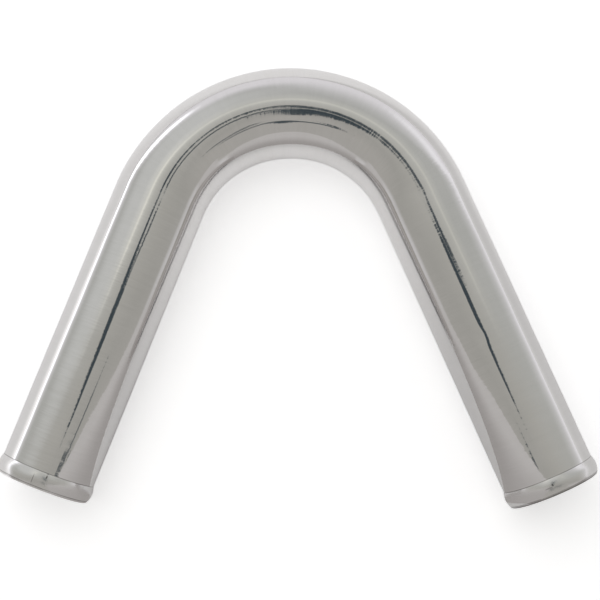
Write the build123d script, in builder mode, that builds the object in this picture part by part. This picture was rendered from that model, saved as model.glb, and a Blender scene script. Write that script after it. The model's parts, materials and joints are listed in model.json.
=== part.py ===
"""Bent aluminium tube with a rolled hose bead on each end.

One piece of thin round tube is bent through 135 degrees on a mandrel, so its two
straight legs leave the bend with 45 degrees between them. Each end is rolled out
into a low bead that keeps a rubber hose from slipping off.

Units are millimetres and degrees. The tube lies flat: +Z is up, +Y points from the
open ends towards the bend, and +X points from the left leg to the right leg. The
origin is under the middle of the tube's bounding box, on the surface it lies on.
"""

import os
from math import cos, radians, sin, sqrt

from build123d import *

# Tube
tube_diameter = 76.0
wall = 2.0

# Bend and legs, measured on the centreline
bend_radius = 117.0
bend_angle = 135.0
left_leg = 249.5
right_leg = 262.5

# Rolled bead, measured along the leg from its end face
bead_height = 1.4
bead_front = 8.0
bead_crest = 3.0
bead_back = 3.2

# End face
rim_drop = 0.6
rim_chamfer = 0.8

tube_radius = tube_diameter / 2
bore_radius = tube_radius - wall
crest_radius = tube_radius + bead_height
rim_radius = tube_radius - rim_drop
bead_length = bead_front + bead_crest + bead_back

left_start = 90 + bend_angle / 2
right_start = 90 - bend_angle / 2


def direction(angle):
    """Unit vector in the tube's flat plane, at an angle from +X."""
    return Vector(cos(radians(angle)), sin(radians(angle)), 0)


def arc_radius(reach, drop):
    """Radius of an arc that leaves level and has fallen by drop at a distance of reach."""
    return (reach**2 + drop**2) / (2 * drop)


def arc_reach(radius, drop):
    """Distance at which an arc that leaves level has fallen by drop."""
    return sqrt(radius**2 - (radius - drop) ** 2)


def leg_section(end, inward, length):
    """Half section of a leg's wall: X runs from the end face to the bend, Y is the radius."""
    crest_start = bead_front
    crest_end = bead_front + bead_crest
    groove_radius = crest_radius - wall
    back_arc = arc_radius(bead_back, bead_height)
    groove_end = crest_end + arc_reach(back_arc - wall, bead_height)
    with BuildSketch(Plane(end, x_dir=inward, z_dir=(0, 0, 1))) as section:
        with BuildLine():
            Line((length, bore_radius), (length, tube_radius))
            Line((length, tube_radius), (bead_length, tube_radius))
            TangentArc((crest_end, crest_radius), (bead_length, tube_radius), tangent=(1, 0))
            Line((crest_end, crest_radius), (crest_start, crest_radius))
            TangentArc((crest_start, crest_radius), (0, rim_radius), tangent=(-1, 0))
            Line((0, rim_radius), (0, bore_radius))
            Line((0, bore_radius), (crest_start, groove_radius))
            Line((crest_start, groove_radius), (crest_end, groove_radius))
            Line((crest_end, groove_radius), (groove_end, bore_radius))
            Line((groove_end, bore_radius), (length, bore_radius))
        make_face()
        chamfer(section.vertices().sort_by_distance((0, rim_radius))[0], rim_chamfer)
    return section.sketch


# Elbow tube
with BuildPart() as elbow_tube:
    # Bend: the tube's ring section carried round the arc, from its right end
    outward = direction(right_start)
    along = direction(right_start + 90)
    with BuildLine() as bend_line:
        CenterArc((0, 0), bend_radius, right_start, bend_angle)
    with BuildSketch(Plane(outward * bend_radius, x_dir=(0, 0, 1), z_dir=along)):
        Circle(tube_radius)
        Circle(bore_radius, mode=Mode.SUBTRACT)
    sweep(path=bend_line.line)

    # Legs: a half section of the wall, with its bead, turned about the leg's axis
    for start, heading, length in (
        (left_start, left_start + 90, left_leg),
        (right_start, right_start - 90, right_leg),
    ):
        end = direction(start) * bend_radius + direction(heading) * length
        inward = direction(heading) * -1
        revolve(leg_section(end, inward, length), axis=Axis(end, inward))

# Origin: under the middle of the bounding box
extent = elbow_tube.part.bounding_box()
elbow_tube.part.position = (-extent.center().X, -extent.center().Y, -extent.min.Z)
elbow_tube.part.label = "elbow_tube"

os.makedirs("parts", exist_ok=True)
export_step(elbow_tube.part, "parts/elbow_tube.step")

# Interfaces, for the record: the end faces' centres and the legs' outward directions
for name, start, heading, length in (
    ("left", left_start, left_start + 90, left_leg),
    ("right", right_start, right_start - 90, right_leg),
):
    end = direction(start) * bend_radius + direction(heading) * length
    place = end + elbow_tube.part.position
    print(name, "end", place, "axis", direction(heading))
    print(name, "bore length", length - bead_length)
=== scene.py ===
"""Looks of a bent, polished aluminium tube with a rolled hose bead on each end.

Metres throughout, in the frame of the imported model: the tube lies flat on z = 0, the bend
is towards +Y, and the two legs run towards -Y, the left one on the -X side.

The tube is drawn as one fine closed skin, outside and inside, from rings set along its
centreline. An angle round the tube is 0 at its top and grows towards the outside of the bend.
"""

import json
from math import cos, pi, radians, sin, tan

import bpy
import numpy as np
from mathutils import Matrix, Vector


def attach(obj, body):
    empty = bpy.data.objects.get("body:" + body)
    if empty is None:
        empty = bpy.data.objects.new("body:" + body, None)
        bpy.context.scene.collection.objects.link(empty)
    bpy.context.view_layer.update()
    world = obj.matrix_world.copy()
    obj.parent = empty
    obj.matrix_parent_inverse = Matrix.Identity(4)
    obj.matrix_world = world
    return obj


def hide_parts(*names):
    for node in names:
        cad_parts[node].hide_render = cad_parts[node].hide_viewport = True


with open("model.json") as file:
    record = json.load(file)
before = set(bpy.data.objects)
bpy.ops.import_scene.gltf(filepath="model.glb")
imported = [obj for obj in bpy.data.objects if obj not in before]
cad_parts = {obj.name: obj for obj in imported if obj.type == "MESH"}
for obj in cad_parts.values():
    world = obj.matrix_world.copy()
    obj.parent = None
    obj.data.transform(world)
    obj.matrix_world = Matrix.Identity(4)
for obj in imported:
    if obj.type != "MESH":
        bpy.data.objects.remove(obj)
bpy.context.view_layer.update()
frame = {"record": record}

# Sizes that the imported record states
mounts = {mount["name"]: mount for mount in frame["record"]["mounts"]}
tube_radius = mounts["left_hose_seat"]["dims"]["r_mm"] / 1000
bore_radius = mounts["left_bore"]["dims"]["r_mm"] / 1000
crest_radius = mounts["left_bead"]["dims"]["r_mm"] / 1000
wall = tube_radius - bore_radius

# Sizes of the bend and the bead, as in the solid
bend_radius = 0.117
bead_front = 0.0080
bead_crest = 0.0030
bead_back = 0.0032
rim_radius = tube_radius - 0.0006
bead_length = bead_front + bead_crest + bead_back

# Finer forms than the solid's: the bend's slight flattening, the rim, the lip and the bead's back
bend_flattening = 0.0008
flattening_run = radians(28)
rim_round = 0.0006
lip_length = 0.0018
lip_groove = 0.00022
back_fullness = 1.7

# Finish
hairline_tilt = 0.09
bead_dullness = 0.14

# Rings and points
points_round = 144
leg_ring_step = 0.0024
bend_ring_step = radians(1.0)

# Camera
camera_place = Vector((-0.0254, -0.1232, 1.0322))
camera_turn = (radians(6.475), radians(-1.530), radians(-1.208))
camera_lens = 73.2
camera_sensor = 36.0


def flat_vector(mount, key):
    """The X and Y of one of a mount's vectors."""
    return np.array(mounts[mount][key][:2])


# Centreline: two straight legs joined by an arc
left_out = flat_vector("left_bead", "axis")
right_out = flat_vector("right_bead", "axis")
left_end = flat_vector("left_bead", "pos_m") + left_out * (bead_front + bead_crest / 2)
right_end = flat_vector("right_bead", "pos_m") + right_out * (bead_front + bead_crest / 2)
axis_height = mounts["left_bead"]["pos_m"][2]
half_turn = pi / 2 - np.arccos(left_out @ right_out) / 2
upward = -(left_out + right_out) / np.linalg.norm(left_out + right_out)
reach = np.linalg.solve(np.stack([left_out, -right_out], 1), right_end - left_end)
apex = left_end + left_out * reach[0]
arc_centre = apex - upward * bend_radius / cos(half_turn)
left_leg = -reach[0] - bend_radius * tan(half_turn)
right_leg = -reach[1] - bend_radius * tan(half_turn)
arc_length = 2 * half_turn * bend_radius
tube_length = left_leg + arc_length + right_leg
upward_angle = np.arctan2(upward[1], upward[0])


def smooth(x):
    """Eases from 0 to 1 as x does, level at both ends."""
    x = np.clip(x, 0.0, 1.0)
    return x * x * (3 - 2 * x)


def station(s):
    """Place, outward direction and share of the bend's flattening, s metres from the left end."""
    turned = np.clip((s - left_leg) / bend_radius, 0.0, 2 * half_turn)
    angle = upward_angle + half_turn - turned
    outward = np.stack([np.cos(angle), np.sin(angle)], -1)
    onward = np.stack([np.sin(angle), -np.cos(angle)], -1)
    along = np.minimum(s - left_leg, 0) + np.maximum(s - left_leg - arc_length, 0)
    place = arc_centre + bend_radius * outward + onward * along[..., None]
    flattened = smooth(np.minimum(turned, 2 * half_turn - turned) / flattening_run)
    return place, outward, flattened


def bead_rise(x):
    """Height of the rolled bead over the tube, x metres in from an end face."""
    crest = crest_radius - tube_radius
    start = rim_radius - tube_radius
    front = crest + (start - crest) * (1 - np.clip(x / bead_front, 0, 1)) ** 2
    back = crest * (1 - np.clip((x - bead_front) / (bead_length - bead_front), 0, 1) ** back_fullness)
    return np.where(x < bead_front, front, back)


def outer_profile():
    """Distances from an end and radii of the outer skin over the bead, from the rim inwards."""
    rounding = np.radians([0, 18, 36, 54, 72, 90])
    distance = list(rim_round * (1 - np.cos(rounding)))
    radius = list(rim_radius - rim_round + rim_round * np.sin(rounding))
    steps = np.linspace(rim_round, bead_length, 45)[1:]
    for x in steps:
        groove = lip_groove * np.exp(-(((x - lip_length) / 0.00035) ** 2))
        distance.append(x)
        radius.append(tube_radius + bead_rise(x) - groove)
    return np.array(distance), np.array(radius)


def inner_profile():
    """Distances from an end and radii of the bore under the bead, from the rim inwards."""
    rounding = np.radians([0, 30, 60, 90])
    distance = list(rim_round * (1 - np.cos(rounding)))
    radius = list(bore_radius + rim_round - rim_round * np.sin(rounding))
    steps = np.linspace(rim_round, bead_length, 20)[1:]
    for x in steps:
        distance.append(x)
        radius.append(bore_radius + max(0.0, float(bead_rise(x))))
    return np.array(distance), np.array(radius)


def along_tube(profile, plain_radius, leg_step, bend_step):
    """Stations and radii of the rings of one skin, from the left end to the right end."""
    distance, radius = profile
    foot = bead_length + np.array([0.0002, 0.0006, 0.0014])
    left = np.arange(bead_length + leg_step, left_leg, leg_step)
    bend = left_leg + bend_radius * np.arange(0, 2 * half_turn, bend_step)
    right = np.arange(left_leg + arc_length, tube_length - bead_length - leg_step / 2, leg_step)
    left = np.concatenate([foot, left])
    right = np.concatenate([right, tube_length - foot[::-1]])
    middle = np.concatenate([left, bend, right])
    s = np.concatenate([distance, middle, tube_length - distance[::-1]])
    r = np.concatenate([radius, np.full(len(middle), plain_radius), radius[::-1]])
    return s, r


def dent(s, angle, place, turned, length, width):
    """A shallow dent's depth as a share of 1, round a place on the tube."""
    return np.exp(-(((s - place) / length) ** 2) - ((angle - turned) / width) ** 2)


def waves(s, angle):
    """Slight unevenness that forming and hand polishing leave in the outer skin."""
    in_bend = smooth((s - left_leg + 0.03) / 0.06) * smooth((left_leg + arc_length + 0.03 - s) / 0.06)
    swell = 0.00005 * np.sin(2 * pi * s / 0.131 + 0.6) * np.cos(2 * angle + 0.9)
    ripple = 0.00002 * np.sin(2 * pi * s / 0.047 + 1.9) * np.cos(3 * angle - 0.4)
    pull = 0.00007 * np.sin(2 * pi * s / 0.083 + 0.4) * np.cos(2 * angle + 0.3)
    knocks = 0.00022 * dent(s, angle, 0.6505, radians(-17), 0.006, 0.11)
    knocks = knocks + 0.00010 * dent(s, angle, 0.5260, radians(-10), 0.006, 0.10)
    return swell + ripple + pull * in_bend - knocks


def skin_points(s, r, wavy):
    """Points of the rings, and where each would be if the tube were straight."""
    angle = np.linspace(-pi, pi, points_round, endpoint=False)
    place, outward, flattened = station(s)
    angle = np.broadcast_to(angle, (len(s), points_round))
    rise = waves(s[:, None], angle) if wavy else 0.0
    behind_bead = np.minimum(s, tube_length - s) - bead_length
    rise = rise * smooth(behind_bead / 0.03)[:, None]
    across = (r - bend_flattening * flattened)[:, None] + rise
    height = (r + bend_flattening * flattened)[:, None] + rise
    flat = place[:, None, :] + (across * np.sin(angle))[..., None] * outward[:, None, :]
    points = np.concatenate([flat, (axis_height + height * np.cos(angle))[..., None]], -1)
    straight = np.stack([np.broadcast_to(s[:, None], angle.shape), r[:, None] * np.sin(angle),
                         r[:, None] * np.cos(angle)], -1)
    return points, straight, angle


def make_tube():
    """The whole tube as one closed skin: out over the outside, back through the bore."""
    outside = skin_points(*along_tube(outer_profile(), tube_radius, leg_ring_step, bend_ring_step), True)
    inside = skin_points(*along_tube(inner_profile(), bore_radius, 3 * leg_ring_step, 2 * bend_ring_step), False)
    points, straight, angle = (np.concatenate([a, b[::-1]]) for a, b in zip(outside, inside))
    rings = len(points)
    corner = np.arange(rings * points_round).reshape(rings, points_round)
    onward = np.roll(corner, -1, axis=0)
    faces = np.stack([corner, onward, np.roll(onward, -1, axis=1), np.roll(corner, -1, axis=1)], -1)
    mesh = bpy.data.meshes.new("polished_tube")
    mesh.from_pydata(points.reshape(-1, 3).tolist(), [], faces.reshape(-1, 4).tolist())
    mesh.shade_smooth()

    # The straight tube's coordinates, for hairlines that run round it
    unbent = mesh.attributes.new("unbent", "FLOAT_VECTOR", "POINT")
    unbent.data.foreach_set("vector", straight.reshape(-1).astype(np.float32))

    # A flat map whose first axis runs along the tube, for the grain's direction
    grain_map = mesh.uv_layers.new(name="grain")
    used = faces.reshape(-1)
    along = straight.reshape(-1, 3)[used, 0]
    round_tube = angle.reshape(-1)[used].reshape(-1, 4)
    round_tube[:, 2:] += np.where(round_tube[:, 2:] < round_tube[:, :2] - pi, 2 * pi, 0)
    flat = np.stack([along / tube_length, (round_tube.reshape(-1) + pi) / (2 * pi)], -1)
    grain_map.uv.foreach_set("vector", flat.reshape(-1).astype(np.float32))

    tube = bpy.data.objects.new("polished_tube", mesh)
    bpy.context.scene.collection.objects.link(tube)
    return tube


class Nodes:
    """A node tree with a short way to add a node and link its inputs."""

    def __init__(self, owner):
        owner.use_nodes = True
        self.tree = owner.node_tree
        self.tree.nodes.clear()

    def add(self, kind, settings=None, **inputs):
        """A node of a kind; an input is a value, or another node's output to link."""
        node = self.tree.nodes.new(kind)
        for name, value in (settings or {}).items():
            setattr(node, name, value)
        for name, value in inputs.items():
            key = int(name[1:]) if name[0] == "i" and name[1:].isdigit() else name.replace("_", " ")
            if isinstance(value, bpy.types.NodeSocket):
                self.tree.links.new(value, node.inputs[key])
            else:
                node.inputs[key].default_value = value
        return node

    def math(self, operation, first, second=0.0):
        """The result of one sum."""
        return self.add("ShaderNodeMath", {"operation": operation}, i0=first, i1=second).outputs[0]

    def remap(self, value, source, target, interpolation="SMOOTHSTEP"):
        """A value moved from one range to another and held within it."""
        node = self.add("ShaderNodeMapRange", {"interpolation_type": interpolation}, Value=value)
        for name, bound in zip(("From Min", "From Max", "To Min", "To Max"), (*source, *target)):
            node.inputs[name].default_value = bound
        return node.outputs[0]

    def blend(self, share, first, second):
        """A number between two, the second where share is 1."""
        return self.add("ShaderNodeMix", {"data_type": "FLOAT"}, i0=share, i2=first, i3=second).outputs[0]

    def mix(self, share, first, second):
        """A colour between two, the second where share is 1."""
        node = self.add("ShaderNodeMix", {"data_type": "RGBA"}, i0=share)
        for index, value in ((6, first), (7, second)):
            if isinstance(value, bpy.types.NodeSocket):
                self.tree.links.new(value, node.inputs[index])
            else:
                node.inputs[index].default_value = (*value, 1.0)
        return node.outputs[2]

    def noise(self, place, scale, detail=2.0, roughness=0.5):
        """A noise over a place stretched by scale along each axis."""
        stretched = self.add("ShaderNodeVectorMath", {"operation": "MULTIPLY"}, i0=place, i1=scale)
        return self.add("ShaderNodeTexNoise", Vector=stretched.outputs[0], Scale=1.0,
                        Detail=detail, Roughness=roughness).outputs["Fac"]

    def lean(self, direction, amount):
        """The surface's normal, leant a little in a direction."""
        normal = self.add("ShaderNodeNewGeometry").outputs["Normal"]
        offset = self.add("ShaderNodeVectorMath", {"operation": "SCALE"}, i0=direction, Scale=amount)
        total = self.add("ShaderNodeVectorMath", {"operation": "ADD"}, i0=normal, i1=offset.outputs[0])
        return self.add("ShaderNodeVectorMath", {"operation": "NORMALIZE"}, i0=total.outputs[0]).outputs[0]

    def spot(self, unbent, place, turned, length, width, depth):
        """A soft oval mark on the outer skin, at a place and an angle round the tube."""
        centre = (place, crest_radius * sin(turned), crest_radius * cos(turned))
        away = self.add("ShaderNodeVectorMath", {"operation": "SUBTRACT"}, i0=unbent, i1=centre)
        sizes = (1 / length, 1 / width, 1 / max(width, 0.003))
        shares = self.add("ShaderNodeVectorMath", {"operation": "MULTIPLY"}, i0=away.outputs[0], i1=sizes)
        distance = self.add("ShaderNodeVectorMath", {"operation": "LENGTH"}, i0=shares.outputs[0])
        return self.remap(distance.outputs["Value"], (0.5, 1.1), (depth, 0.0))

    def near(self, value, centre, width):
        """1 where a value is at a centre, falling to 0 a width away."""
        away = self.math("ABSOLUTE", self.math("SUBTRACT", value, centre))
        return self.remap(away, (0.0, width), (1.0, 0.0))

    def ramp(self, factor, stops):
        """Colours at positions, blended between them."""
        node = self.add("ShaderNodeValToRGB", Fac=factor)
        elements = node.color_ramp.elements
        while len(elements) < len(stops):
            elements.new(0.5)
        for element, (position, colour) in zip(elements, stops):
            element.position = position
            element.color = (*colour, 1.0)
        return node.outputs["Color"]


def polished_aluminium():
    """Hand-polished aluminium: near mirror, with hairlines round the tube and a faint haze."""
    material = bpy.data.materials.new("polished_aluminium")
    nodes = Nodes(material)
    unbent = nodes.add("ShaderNodeAttribute", {"attribute_name": "unbent"}).outputs["Vector"]

    # Hairlines: close together along the tube and long round it
    fine = nodes.noise(unbent, (1100, 45, 45), detail=3.0, roughness=0.6)
    coarse = nodes.noise(unbent, (260, 18, 18), detail=2.0)
    lines = nodes.math("ADD", nodes.math("MULTIPLY", fine, 0.6), nodes.math("MULTIPLY", coarse, 0.4))
    haze = nodes.noise(unbent, (22, 30, 30), detail=3.0, roughness=0.6)

    # Painted shade darkens the crease behind the bead and the groove along its lip, a painted shadow darkens the
    # right rim, and dark marks dot the beads: a scratch, and spots, some of them painted reflections of dark things
    # above
    along = nodes.add("ShaderNodeSeparateXYZ", Vector=unbent).outputs["X"]
    from_right = nodes.math("SUBTRACT", tube_length, along)
    from_end = nodes.math("MINIMUM", along, from_right)
    # painted shade in the crease at the bead's foot and in the lip's groove, made patchy by the haze next
    painted_shade_and_marks = nodes.math("MAXIMUM", nodes.near(from_end, bead_length, 0.0005), nodes.near(from_end, lip_length, 0.0006))
    painted_shade_and_marks = nodes.math("MULTIPLY", painted_shade_and_marks, nodes.remap(haze, (0.25, 0.6), (0.3, 0.7)))
    # painted shadow: the metal darkens along the right end's rim
    painted_shade_and_marks = nodes.math("MAXIMUM", painted_shade_and_marks, nodes.remap(from_right, (0.0009, 0.0016), (0.8, 0.0)))
    # dark marks on the beads: the long thin one along the tube is a scratch; the others are spots, some of them
    # painted reflections of dark things above
    for place, turned, length, width, depth in (
        (0.0114, -9.5, 0.0016, 0.0006, 0.9),
        (0.0137, -9.5, 0.0006, 0.0009, 0.7),
        (0.0065, 4.8, 0.0050, 0.0004, 0.5),
        (0.0145, -21.0, 0.0010, 0.0006, 0.6),
        (tube_length - 0.0087, -10.5, 0.0010, 0.0008, 0.8),
        (tube_length - 0.0075, -16.0, 0.0007, 0.0040, 0.4),
    ):
        dark_mark = nodes.spot(unbent, place, radians(turned), length, width, depth)
        painted_shade_and_marks = nodes.math("MAXIMUM", painted_shade_and_marks, dark_mark)

    # Haze dulls the polish and greys the metal in patches; the rolled bead is duller
    roughness = nodes.add("ShaderNodeMapRange", {}, Value=haze, To_Min=0.04, To_Max=0.10).outputs[0]
    on_bead = nodes.remap(from_end, (bead_length - 0.0004, bead_length + 0.0004), (bead_dullness, 0.0))
    roughness = nodes.math("ADD", roughness, on_bead)
    shade = nodes.math("ADD", nodes.math("MULTIPLY", haze, 0.5), nodes.math("MULTIPLY", lines, 0.5))
    metal_colour = nodes.ramp(shade, [(0.25, (0.775, 0.765, 0.755)), (0.75, (0.86, 0.845, 0.845))])
    # the dark colour paints the shade, the shadow and the dark marks into the metal
    colour = nodes.mix(painted_shade_and_marks, metal_colour, (0.14, 0.13, 0.12))

    # Each hairline leans the surface its own way along the tube, besides the shallow relief of all
    grain = nodes.add("ShaderNodeTangent", {"direction_type": "UV_MAP", "uv_map": "grain"}).outputs[0]
    lean = nodes.math("MULTIPLY", nodes.math("SUBTRACT", fine, 0.5), hairline_tilt)
    leant = nodes.lean(grain, lean)
    bump = nodes.add("ShaderNodeBump", Strength=1.0, Distance=0.000004, Height=lines, Normal=leant)
    metal = nodes.add("ShaderNodeBsdfPrincipled", Base_Color=colour, Metallic=1.0, Roughness=roughness,
                      Anisotropic=0.6, Normal=bump.outputs[0], Tangent=grain)
    nodes.add("ShaderNodeOutputMaterial", Surface=metal.outputs[0])
    return material


def seen_directly_or_reflected(nodes):
    """Is Camera Ray and Is Glossy or Transmission Ray of the light path."""
    path = nodes.add("ShaderNodeLightPath")
    mirrored = nodes.math("MAXIMUM", path.outputs["Is Glossy Ray"], path.outputs["Is Transmission Ray"])
    return path.outputs["Is Camera Ray"], mirrored


def make_floor():
    """A wide white sheet, which takes the tube's shadow and is white where nothing shades it."""
    size = 6.0
    corners = [(-size, -size, 0), (size, -size, 0), (size, size, 0), (-size, size, 0)]
    mesh = bpy.data.meshes.new("floor")
    mesh.from_pydata(corners, [], [(0, 1, 2, 3)])
    floor = bpy.data.objects.new("floor", mesh)
    bpy.context.scene.collection.objects.link(floor)
    material = bpy.data.materials.new("white_sheet")
    nodes = Nodes(material)
    camera_ray, mirrored = seen_directly_or_reflected(nodes)
    place = nodes.add("ShaderNodeNewGeometry").outputs["Position"]
    parts = nodes.add("ShaderNodeSeparateXYZ", Vector=place)
    sideways, towards_bend = parts.outputs["X"], parts.outputs["Y"]

    # In the metal the sheet is brightest far out on the left, and dim towards the open ends: painted light and
    # painted shade in its glow for reflections
    left_share = nodes.remap(nodes.math("ADD", towards_bend, nodes.math("MULTIPLY", sideways, 0.55)),
                             (-0.15, 0.10), (1.0, 0.0))
    far_left = nodes.math("MULTIPLY", nodes.remap(sideways, (-0.90, -0.40), (0.38, 0.0), "LINEAR"), left_share)
    far_right = nodes.remap(sideways, (0.40, 1.20), (0.0, 0.17), "LINEAR")
    even = nodes.remap(sideways, (-0.30, 0.30), (0.14, 0.07))
    outside = nodes.math("ADD", even, nodes.math("ADD", far_left, far_right))
    between = nodes.remap(nodes.math("ABSOLUTE", sideways), (0.12, 0.28), (1.0, 0.0))
    inside = nodes.remap(towards_bend, (-0.16, 0.10), (0.0, 0.22))
    lit = nodes.math("ADD", nodes.math("MULTIPLY", outside, nodes.math("SUBTRACT", 1.0, between)),
                     nodes.math("MULTIPLY", inside, between))
    glow = nodes.math("ADD", nodes.math("MULTIPLY", camera_ray, 0.50), nodes.math("MULTIPLY", mirrored, lit))
    paper = nodes.add("ShaderNodeBsdfDiffuse", Color=(0.80, 0.795, 0.81, 1.0))
    light = nodes.add("ShaderNodeEmission", Color=(1.0, 1.0, 1.0, 1.0), Strength=glow)
    both = nodes.add("ShaderNodeAddShader", i0=paper.outputs[0], i1=light.outputs[0])
    nodes.add("ShaderNodeOutputMaterial", Surface=both.outputs[0])
    mesh.materials.append(material)


def make_world():
    """A pale tent, white to the eye: grey overhead, white walls, and a lamp behind each side wall."""
    world = bpy.data.worlds.new("tent")
    bpy.context.scene.world = world
    nodes = Nodes(world)
    camera_ray, mirrored = seen_directly_or_reflected(nodes)
    direction = nodes.add("ShaderNodeTexCoord").outputs["Generated"]
    parts = nodes.add("ShaderNodeSeparateXYZ", Vector=direction)
    sideways, towards_bend, up = parts.outputs[0], parts.outputs[1], parts.outputs[2]

    # The white wall stands on the bend's side only, and reaches higher behind the bend than beside it
    right_share = nodes.remap(sideways, (-0.20, 0.20), (0.0, 1.0))
    left_top = nodes.math("ADD", nodes.remap(towards_bend, (0.48, 0.88), (-0.05, 0.205)),
                          nodes.remap(towards_bend, (0.08, 0.32), (0.0, 0.035)))
    right_top = nodes.remap(towards_bend, (0.45, 0.58), (-0.035, 0.27))
    wall_top = nodes.blend(right_share, left_top, right_top)
    over_wall = nodes.math("SUBTRACT", up, wall_top)
    wall_share = nodes.blend(right_share, nodes.remap(over_wall, (0.0, 0.32), (1.0, 0.0)),
                             nodes.remap(over_wall, (-0.15, 0.60), (1.0, 0.0)))
    standing = nodes.remap(towards_bend, (-0.30, -0.02), (0.0, 1.0))
    low_share = nodes.math("MULTIPLY", nodes.remap(up, (0.12, 0.30), (0.5, 0.0)),
                           nodes.math("SUBTRACT", 1.0, standing))
    wall_share = nodes.math("MAXIMUM", nodes.math("MULTIPLY", wall_share, standing), low_share)

    # Overhead it is grey, warmer towards the open ends, with a paler patch up on the left
    overhead = nodes.ramp(nodes.remap(towards_bend, (-1.0, 1.0), (0.0, 1.0), "LINEAR"), [
        (0.0, (0.42, 0.41, 0.39)), (0.25, (0.42, 0.41, 0.385)), (0.38, (0.385, 0.38, 0.355)),
        (0.50, (0.43, 0.425, 0.395)), (0.65, (0.465, 0.47, 0.45)), (1.0, (0.48, 0.485, 0.475))])
    patch_side = nodes.add("ShaderNodeVectorMath", {"operation": "DOT_PRODUCT"}, i0=direction, i1=(-0.46, 0.54, 0.70))
    patch = nodes.remap(patch_side.outputs["Value"], (0.84, 0.98), (0.0, 0.45))
    overhead = nodes.mix(patch, overhead, (0.72, 0.73, 0.72))
    tent = nodes.mix(wall_share, overhead, (0.78, 0.768, 0.79))

    # Lamp glow along the wall's top edge, strong on the left and faint on the right
    off_edge = nodes.math("ABSOLUTE", over_wall)
    left_glow = nodes.math("MULTIPLY", nodes.remap(off_edge, (0.0, 0.15), (1.2, 0.0)),
                           nodes.remap(sideways, (-0.62, -0.40), (1.0, 0.0)))
    right_glow = nodes.math("MULTIPLY", nodes.remap(off_edge, (0.0, 0.27), (0.17, 0.0)),
                            nodes.remap(sideways, (0.45, 0.65), (0.0, 1.0)))
    left_glow = nodes.math("MULTIPLY", left_glow, standing)
    right_glow = nodes.math("MULTIPLY", right_glow, standing)
    white = nodes.add("ShaderNodeBackground", Color=(1.0, 1.0, 1.0, 1.0), Strength=1.0)
    tent_light = nodes.add("ShaderNodeBackground", Color=tent, Strength=1.0)
    lamp_light = nodes.add("ShaderNodeBackground", Color=(0.92, 0.95, 1.0, 1.0),
                           Strength=nodes.math("ADD", left_glow, right_glow))
    lit_tent = nodes.add("ShaderNodeAddShader", i0=tent_light.outputs[0], i1=lamp_light.outputs[0])
    sky = nodes.add("ShaderNodeMixShader", i0=camera_ray, i1=lit_tent.outputs[0], i2=white.outputs[0])
    nodes.add("ShaderNodeOutputWorld", Surface=sky.outputs[0])


def add_lamp(name, place, target, size, radiance):
    """A square lamp of a given brightness that lights the sheet and isn't seen or mirrored."""
    lamp = bpy.data.lights.new(name, "AREA")
    lamp.shape = "SQUARE"
    lamp.size = size
    lamp.energy = radiance * pi * size * size
    thing = bpy.data.objects.new(name, lamp)
    thing.location = place
    thing.rotation_euler = (Vector(target) - thing.location).to_track_quat("-Z", "Y").to_euler()
    thing.visible_camera = False
    thing.visible_glossy = False
    bpy.context.scene.collection.objects.link(thing)


def add_card(name, corners, colour, upper=None, heights=(0.0, 1.0)):
    """A flat card that only the metal's reflections show; its colour may change with height."""
    mesh = bpy.data.meshes.new(name)
    mesh.from_pydata(corners, [], [tuple(range(len(corners)))])
    card = bpy.data.objects.new(name, mesh)
    bpy.context.scene.collection.objects.link(card)
    material = bpy.data.materials.new(name)
    nodes = Nodes(material)
    light = nodes.add("ShaderNodeEmission", Color=(*colour, 1.0), Strength=1.0)
    if upper:
        place = nodes.add("ShaderNodeNewGeometry").outputs["Position"]
        height = nodes.add("ShaderNodeSeparateXYZ", Vector=place).outputs["Z"]
        shade = nodes.mix(nodes.remap(height, heights, (0.0, 1.0)), colour, upper)
        nodes.tree.links.new(shade, light.inputs["Color"])
    nodes.add("ShaderNodeOutputMaterial", Surface=light.outputs[0])
    mesh.materials.append(material)
    card.visible_camera = False
    card.visible_diffuse = False
    card.visible_shadow = False
    return card


def level_outline(outline, height):
    """Corners of a level card, from places measured from the middle of the bend's arc."""
    return [(arc_centre[0] + x, arc_centre[1] + y, height) for x, y in outline]


def band_outline(line, width):
    """Outline of a band of one width along a line of points."""
    points = np.array(line)
    run = np.gradient(points, axis=0)
    side = np.stack([-run[:, 1], run[:, 0]], 1) / np.linalg.norm(run, axis=1)[:, None] * width / 2
    return [tuple(p) for p in np.concatenate([points + side, (points - side)[::-1]])]


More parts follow.
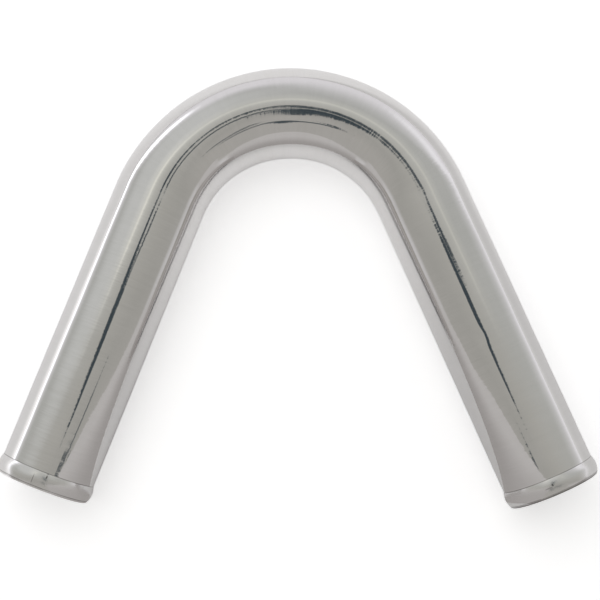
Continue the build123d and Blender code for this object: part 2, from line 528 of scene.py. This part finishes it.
def make_studio():
    """A soft overhead lamp, dark flags round the camera and a white card before the open ends."""
    middle = Vector((arc_centre[0], arc_centre[1], axis_height))
    add_lamp("overhead", (-0.5, 0.5, 1.8), middle, 1.6, 1.5)

    # Dark flags: a body by the camera, a head higher up, and bars towards the open ends
    level = camera_place.z
    dark = (0.05, 0.065, 0.075)
    body = [(-0.01, -0.27), (0.025, -0.26), (0.045, -0.20), (0.06, -0.12), (0.07, -0.05), (0.06, -0.01),
            (0.03, 0.0), (0.02, 0.05), (-0.03, 0.07), (-0.07, 0.05), (-0.085, 0.0), (-0.085, -0.06),
            (-0.07, -0.12), (-0.05, -0.18), (-0.03, -0.24)]
    head = [(-0.06, 0.06), (0.06, 0.06), (0.07, 0.15), (0.11, 0.24), (0.0, 0.24), (-0.06, 0.15)]
    knot = [(0.17, -0.56), (0.16, -0.66), (0.09, -0.76), (0.03, -0.74), (0.0, -0.66), (-0.02, -0.58)]
    add_card("flag_body", level_outline(body, level), dark)
    add_card("flag_head", level_outline(head, 1.6 * level), dark)
    add_card("flag_knot", level_outline(knot, level), dark)
    bands = [
        ("side_arm", 0.045, [(0.05, 0.01), (0.08, 0.045), (0.11, 0.07), (0.14, 0.06)]),
        ("long_bar", 0.045, [(0.52, -0.55), (0.41, -0.60), (0.28, -0.585), (0.17, -0.56)]),
        ("mid_bar", 0.06, [(0.17, -0.57), (0.08, -0.62), (-0.03, -0.62), (-0.125, -0.605), (-0.22, -0.555)]),
        ("left_bar", 0.07, [(-0.22, -0.555), (-0.24, -0.50), (-0.18, -0.44)]),
        ("side_bar", 0.045, [(0.20, -0.43), (0.30, -0.475), (0.40, -0.487), (0.46, -0.43), (0.52, -0.39)]),
    ]
    for name, width, line in bands:
        add_card(name, level_outline(band_outline(line, width), level - 0.005), dark)

    # Sheets before the open ends, the middle one close by and a wing further off on each side
    middle_sheet = [(-0.19, 0.0), (-0.19, 0.13), (-0.11, 0.175), (-0.02, 0.215), (0.06, 0.205), (0.15, 0.17),
                    (0.19, 0.14), (0.19, 0.0)]
    right_wing = [(0.34, 0.0), (0.34, 0.29), (0.49, 0.245), (0.62, 0.198), (0.9, 0.12), (0.9, 0.0)]
    left_wing = [(-0.34, 0.0), (-0.34, 0.27), (-0.454, 0.248), (-0.71, 0.123), (-0.9, 0.09), (-0.9, 0.0)]
    for name, distance, outline in (("middle_sheet", 0.207, middle_sheet), ("right_wing", 0.30, right_wing),
                                    ("left_wing", 0.30, left_wing)):
        corners = [(arc_centre[0] + x, arc_centre[1] - distance, z) for x, z in outline]
        add_card(name, corners, (0.37, 0.355, 0.345), (0.52, 0.505, 0.495), (0.02, 0.15))


def make_cream_glow():
    """A cream glow in an arc over the bend, strongest on the left, that only the metal shows."""
    outline = [(-1.2, -0.3), (1.2, -0.3), (1.2, 1.2), (-1.2, 1.2)]
    corners = level_outline(outline, camera_place.z + 0.02)
    glow = add_card("cream_glow", corners, (0.0, 0.0, 0.0))
    material = glow.data.materials[0]
    nodes = Nodes(material)
    place = nodes.add("ShaderNodeNewGeometry").outputs["Position"]
    centre = (arc_centre[0], arc_centre[1] - 0.05, camera_place.z)
    away = nodes.add("ShaderNodeVectorMath", {"operation": "SUBTRACT"}, i0=place, i1=centre).outputs[0]
    distance = nodes.add("ShaderNodeVectorMath", {"operation": "LENGTH"}, i0=away).outputs["Value"]
    parts = nodes.add("ShaderNodeSeparateXYZ", Vector=away)
    bearing = nodes.math("DIVIDE", nodes.math("ARCTAN2", parts.outputs["Y"], parts.outputs["X"]), pi)
    share = nodes.ramp(bearing, [(0.07, (0, 0, 0)), (0.16, (0.4, 0.4, 0.4)), (0.50, (0.55, 0.55, 0.55)),
                                 (0.62, (0.62, 0.62, 0.62)), (0.73, (1, 1, 1)), (0.80, (0.9, 0.9, 0.9)),
                                 (0.87, (0.3, 0.3, 0.3)), (0.95, (0, 0, 0))])
    core = nodes.math("MULTIPLY", nodes.near(distance, 0.53, 0.09), 0.17)
    skirt = nodes.math("MULTIPLY", nodes.near(distance, 0.55, 0.40), 0.13)
    strength = nodes.math("MULTIPLY", nodes.math("ADD", core, skirt), share)
    light = nodes.add("ShaderNodeEmission", Color=(1.0, 0.97, 0.80, 1.0), Strength=strength)
    clear = nodes.add("ShaderNodeBsdfTransparent")
    both = nodes.add("ShaderNodeAddShader", i0=clear.outputs[0], i1=light.outputs[0])
    nodes.add("ShaderNodeOutputMaterial", Surface=both.outputs[0])


def make_camera():
    """The photograph's view, looking down on the tube."""
    data = bpy.data.cameras.new("camera")
    data.lens = camera_lens
    data.sensor_width = camera_sensor
    data.clip_end = 50.0
    camera = bpy.data.objects.new("camera", data)
    camera.location = camera_place
    camera.rotation_euler = camera_turn
    bpy.context.scene.collection.objects.link(camera)
    bpy.context.scene.camera = camera


tube = make_tube()
tube.data.materials.append(polished_aluminium())
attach(tube, "root")
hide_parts("elbow_tube")

make_floor()
make_world()
make_studio()
make_cream_glow()
make_camera()
bpy.context.scene.view_settings.view_transform = "Standard"
